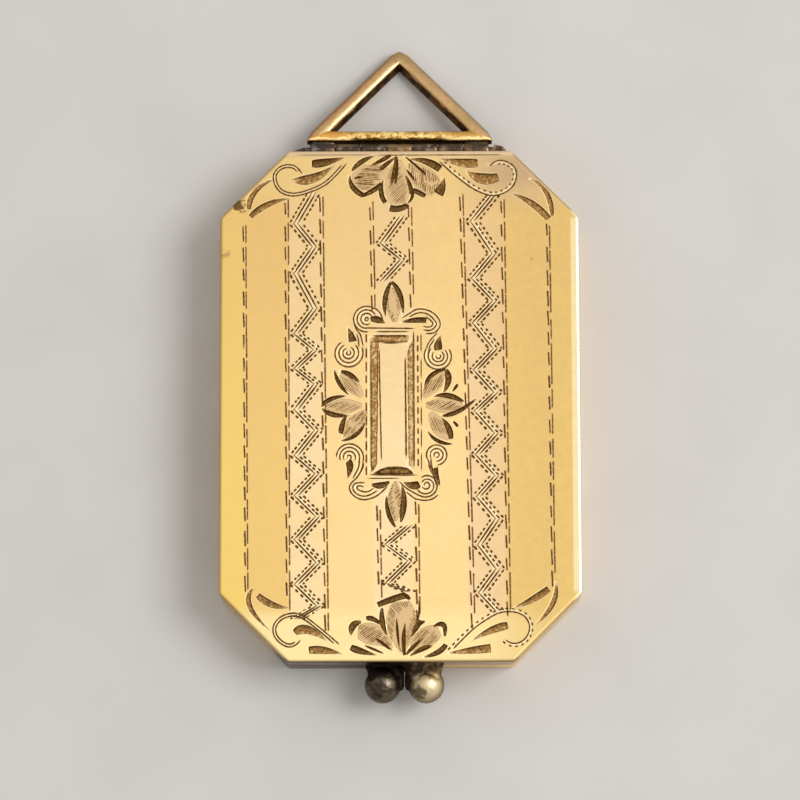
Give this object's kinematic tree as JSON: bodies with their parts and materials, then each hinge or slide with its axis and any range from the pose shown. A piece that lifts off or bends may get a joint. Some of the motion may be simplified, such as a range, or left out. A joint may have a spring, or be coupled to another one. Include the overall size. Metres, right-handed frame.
{
  "type": "rectangular locket",
  "caption": "Hinged rectangular locket with cut corners, an engraved face, a triangular bail on the hinge and two clasp beads.",
  "frame": {"origin": "centre of the flat back, which the closed locket rests on", "axes": "+X to the right across the case, +Y towards the hinge and bail, +Z out of the engraved face"},
  "size_m": [0.0222, 0.0413, 0.0044],
  "materials": {
    "engraved_gold": "polished gold-filled sheet, darkened in the engraving",
    "plain_gold": "polished gold-filled sheet with fine wear",
    "bail_gold": "worn gold over solder, darker in the corners",
    "rim_gold": "satin gold",
    "hinge_metal": "dark, tarnished",
    "tarnished_bead": "tarnished, mottled grey-brown",
    "bright_bead": "worn bright, with brown patches"
  },
  "bodies": {
    "back": {"back_cover": "plain_gold", "hinge_pin": "hinge_metal", "back_bead": "tarnished_bead", "back_picture_rim": "rim_gold"},
    "lid": {"front_cover": "engraved_gold", "front_bead": "bright_bead", "front_picture_rim": "rim_gold"},
    "bail": {"bail": "bail_gold"}
  },
  "joints": [
    {"name": "lid_hinge", "type": "hinge", "parent": "back", "child": "lid", "pos_m": [0, 0.01638, 0.0022], "axis": [-1, 0, 0], "range_deg": [0, 90]},
    {"name": "bail_hinge", "type": "hinge", "parent": "back", "child": "bail", "pos_m": [0, 0.01638, 0.0022], "axis": [1, 0, 0], "range_deg": [-75, 15]}
  ]
}
